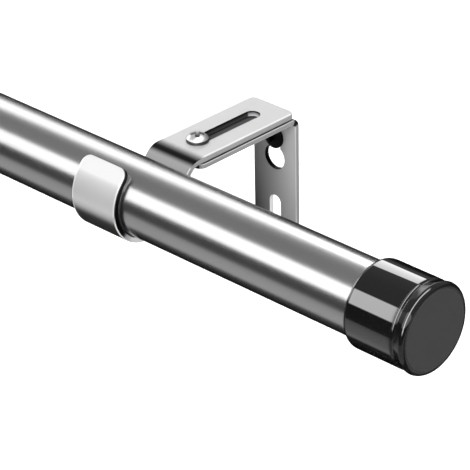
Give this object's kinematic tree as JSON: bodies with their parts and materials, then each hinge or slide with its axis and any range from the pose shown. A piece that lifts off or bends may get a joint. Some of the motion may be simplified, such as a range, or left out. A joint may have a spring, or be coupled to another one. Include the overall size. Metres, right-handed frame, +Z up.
{
  "type": "extendable curtain rod",
  "caption": "Telescoping round curtain rod with capped ends, resting in the hooks of two wall brackets whose slotted arms slide out to set the distance from the wall.",
  "frame": {"origin": "on the wall plane, midway between the axes of the two wall screws", "axes": "+X along the rod to the thick tube's capped end, +Y into the wall, +Z up"},
  "size_m": [0.711, 0.0982, 0.0684],
  "materials": {
    "nickel_tube": "polished nickel on steel tube",
    "nickel_strap": "satin nickel on steel strip",
    "bright_zinc": "bright zinc",
    "gloss_black": "gloss black",
    "matt_black": "matt dark grey",
    "black_screw": "matt black",
    "white_nylon": "natural nylon"
  },
  "bodies": {
    "brackets": {"wall_plate_right": "nickel_strap", "wall_plate_left": "nickel_strap", "lock_nut_right": "bright_zinc", "lock_nut_left": "bright_zinc", "wall_screw_right": "black_screw", "wall_screw_left": "black_screw"},
    "arm_r": {"arm_right": "nickel_strap"},
    "arm_l": {"arm_left": "nickel_strap"},
    "screw_r": {"adjusting_screw_right": "bright_zinc"},
    "screw_l": {"adjusting_screw_left": "bright_zinc"},
    "thick_tube": {"outer_tube": "nickel_tube", "mouth_ring": "white_nylon"},
    "thin_tube": {"inner_tube": "nickel_tube", "glide_plug": "white_nylon", "reducer_sleeve": "white_nylon"},
    "cap_r": {"end_cap_right": "gloss_black", "cap_disc_right": "matt_black"},
    "cap_l": {"end_cap_left": "gloss_black", "cap_disc_left": "matt_black"}
  },
  "joints": [
    {"name": "arm_right_slide", "type": "slide", "parent": "brackets", "child": "arm_r", "axis": [0, -1, 0], "range_m": [0, 0.026]},
    {"name": "arm_left_slide", "type": "slide", "parent": "brackets", "child": "arm_l", "axis": [0, -1, 0], "range_m": [0, 0.026]},
    {"name": "rod_lift", "type": "slide", "parent": "arm_r", "child": "thick_tube", "axis": [0, 0.6428, 0.766], "range_m": [0, 0.025]},
    {"name": "telescope", "type": "slide", "parent": "thick_tube", "child": "thin_tube", "axis": [-1, 0, 0], "range_m": [0, 0.508]},
    {"name": "cap_right_pull", "type": "slide", "parent": "thick_tube", "child": "cap_r", "axis": [1, 0, 0], "range_m": [0, 0.03]},
    {"name": "cap_left_pull", "type": "slide", "parent": "thin_tube", "child": "cap_l", "axis": [-1, 0, 0], "range_m": [0, 0.03]},
    {"name": "adjusting_screw_right_turn", "type": "hinge", "parent": "brackets", "child": "screw_r", "pos_m": [0.223, -0.0394, 0.01], "axis": [0, 0, 1], "range_deg": [0, 360]},
    {"name": "adjusting_screw_left_turn", "type": "hinge", "parent": "brackets", "child": "screw_l", "pos_m": [-0.223, -0.0394, 0.01], "axis": [0, 0, 1], "range_deg": [0, 360]}
  ],
  "couplings": [
    {"joint": "arm_left_slide", "follows": "arm_right_slide", "ratio": 1}
  ]
}
